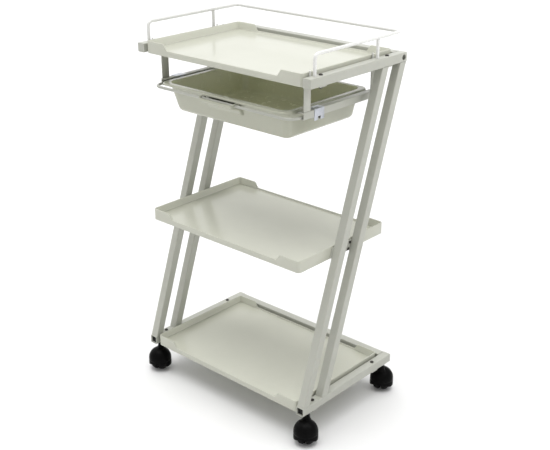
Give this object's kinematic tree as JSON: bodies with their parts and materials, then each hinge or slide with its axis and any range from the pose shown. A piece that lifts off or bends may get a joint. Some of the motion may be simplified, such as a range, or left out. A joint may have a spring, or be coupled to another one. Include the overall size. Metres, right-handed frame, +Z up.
{
  "type": "rolling salon trolley",
  "caption": "Rolling salon trolley with leaning square-tube frame, moulded trays, hanging sliding drawer, wire gallery and twin-wheel castors.",
  "frame": {"origin": "on the floor, under the middle of the box that holds the whole trolley with its castors at rest", "axes": "+Z up, -Y towards the open front where the drawer pulls out, +X to the right seen from the front"},
  "size_m": [0.5468, 0.3512, 0.872],
  "materials": {
    "frame_paint": "satin powder coat, warm light grey",
    "rod_paint": "semi-gloss white coat",
    "tray_plastic": "glossy ivory moulding",
    "tub_plastic": "glossy ivory moulding",
    "zinc": "bright zinc plate, bluish",
    "dark_screw": "dark oxide",
    "steel": "plain steel",
    "plug_plastic": "matt black",
    "hood_plastic": "glossy black",
    "wheel_plastic": "satin black"
  },
  "bodies": {
    "frame": {"rail_top_l": "frame_paint", "rail_top_r": "frame_paint", "rail_bottom_l": "frame_paint", "rail_bottom_r": "frame_paint", "leg_front_l": "frame_paint", "leg_front_r": "frame_paint", "leg_rear_l": "frame_paint", "leg_rear_r": "frame_paint", "cross_top": "frame_paint", "cross_bottom": "frame_paint", "caps_top": "frame_paint", "plugs_bottom": "plug_plastic", "bolts_cross": "dark_screw", "screws_rail": "dark_screw", "gallery": "rod_paint", "gallery_posts": "rod_paint", "pegs": "rod_paint", "tray_top": "tray_plastic", "tray_middle": "tray_plastic", "tray_bottom": "tray_plastic", "tray_lugs": "frame_paint", "hanger_fl": "frame_paint", "hanger_fr": "frame_paint", "hanger_rl": "frame_paint", "hanger_rr": "frame_paint", "runner_l": "frame_paint", "runner_r": "frame_paint", "clip_l": "zinc", "clip_r": "zinc", "clip_screws": "dark_screw", "bracket_l": "frame_paint", "bracket_r": "frame_paint", "bracket_screws": "dark_screw", "stem_fl": "steel", "stem_fr": "steel", "stem_rl": "steel", "stem_rr": "steel"},
    "drawer": {"drawer_wire": "rod_paint", "drawer_tub": "tub_plastic"},
    "castor_fl": {"hood_fl": "hood_plastic", "axle_fl": "steel"},
    "wheel_fl_a_body": {"wheel_fl_a": "wheel_plastic"},
    "wheel_fl_b_body": {"wheel_fl_b": "wheel_plastic"},
    "castor_fr": {"hood_fr": "hood_plastic", "axle_fr": "steel"},
    "wheel_fr_a_body": {"wheel_fr_a": "wheel_plastic"},
    "wheel_fr_b_body": {"wheel_fr_b": "wheel_plastic"},
    "castor_rl": {"hood_rl": "hood_plastic", "axle_rl": "steel"},
    "wheel_rl_a_body": {"wheel_rl_a": "wheel_plastic"},
    "wheel_rl_b_body": {"wheel_rl_b": "wheel_plastic"},
    "castor_rr": {"hood_rr": "hood_plastic", "axle_rr": "steel"},
    "wheel_rr_a_body": {"wheel_rr_a": "wheel_plastic"},
    "wheel_rr_b_body": {"wheel_rr_b": "wheel_plastic"}
  },
  "joints": [
    {"name": "drawer_slide", "type": "slide", "parent": "frame", "child": "drawer", "axis": [0, -1, 0], "range_m": [0, 0.18]},
    {"name": "swivel_fl", "type": "hinge", "parent": "frame", "child": "castor_fl", "pos_m": [-0.24, -0.1385, 0.06], "axis": [0, 0, 1], "continuous": true},
    {"name": "swivel_fr", "type": "hinge", "parent": "frame", "child": "castor_fr", "pos_m": [0.24, -0.1385, 0.06], "axis": [0, 0, 1], "continuous": true},
    {"name": "swivel_rl", "type": "hinge", "parent": "frame", "child": "castor_rl", "pos_m": [-0.24, 0.1385, 0.06], "axis": [0, 0, 1], "continuous": true},
    {"name": "swivel_rr", "type": "hinge", "parent": "frame", "child": "castor_rr", "pos_m": [0.24, 0.1385, 0.06], "axis": [0, 0, 1], "continuous": true},
    {"name": "roll_fl_a", "type": "hinge", "parent": "castor_fl", "child": "wheel_fl_a_body", "pos_m": [-0.23577, -0.14756, 0.025], "axis": [0.9063, 0.4226, 0], "continuous": true},
    {"name": "roll_fl_b", "type": "hinge", "parent": "castor_fl", "child": "wheel_fl_b_body", "pos_m": [-0.23577, -0.14756, 0.025], "axis": [0.9063, 0.4226, 0], "continuous": true},
    {"name": "roll_fr_a", "type": "hinge", "parent": "castor_fr", "child": "wheel_fr_a_body", "pos_m": [0.24545, -0.14689, 0.025], "axis": [0.8387, 0.5446, 0], "continuous": true},
    {"name": "roll_fr_b", "type": "hinge", "parent": "castor_fr", "child": "wheel_fr_b_body", "pos_m": [0.24545, -0.14689, 0.025], "axis": [0.8387, 0.5446, 0], "continuous": true},
    {"name": "roll_rl_a", "type": "hinge", "parent": "castor_rl", "child": "wheel_rl_a_body", "pos_m": [-0.24545, 0.14689, 0.025], "axis": [-0.8387, -0.5446, 0], "continuous": true},
    {"name": "roll_rl_b", "type": "hinge", "parent": "castor_rl", "child": "wheel_rl_b_body", "pos_m": [-0.24545, 0.14689, 0.025], "axis": [-0.8387, -0.5446, 0], "continuous": true},
    {"name": "roll_rr_a", "type": "hinge", "parent": "castor_rr", "child": "wheel_rr_a_body", "pos_m": [0.23577, 0.14756, 0.025], "axis": [-0.9063, -0.4226, 0], "continuous": true},
    {"name": "roll_rr_b", "type": "hinge", "parent": "castor_rr", "child": "wheel_rr_b_body", "pos_m": [0.23577, 0.14756, 0.025], "axis": [-0.9063, -0.4226, 0], "continuous": true}
  ]
}
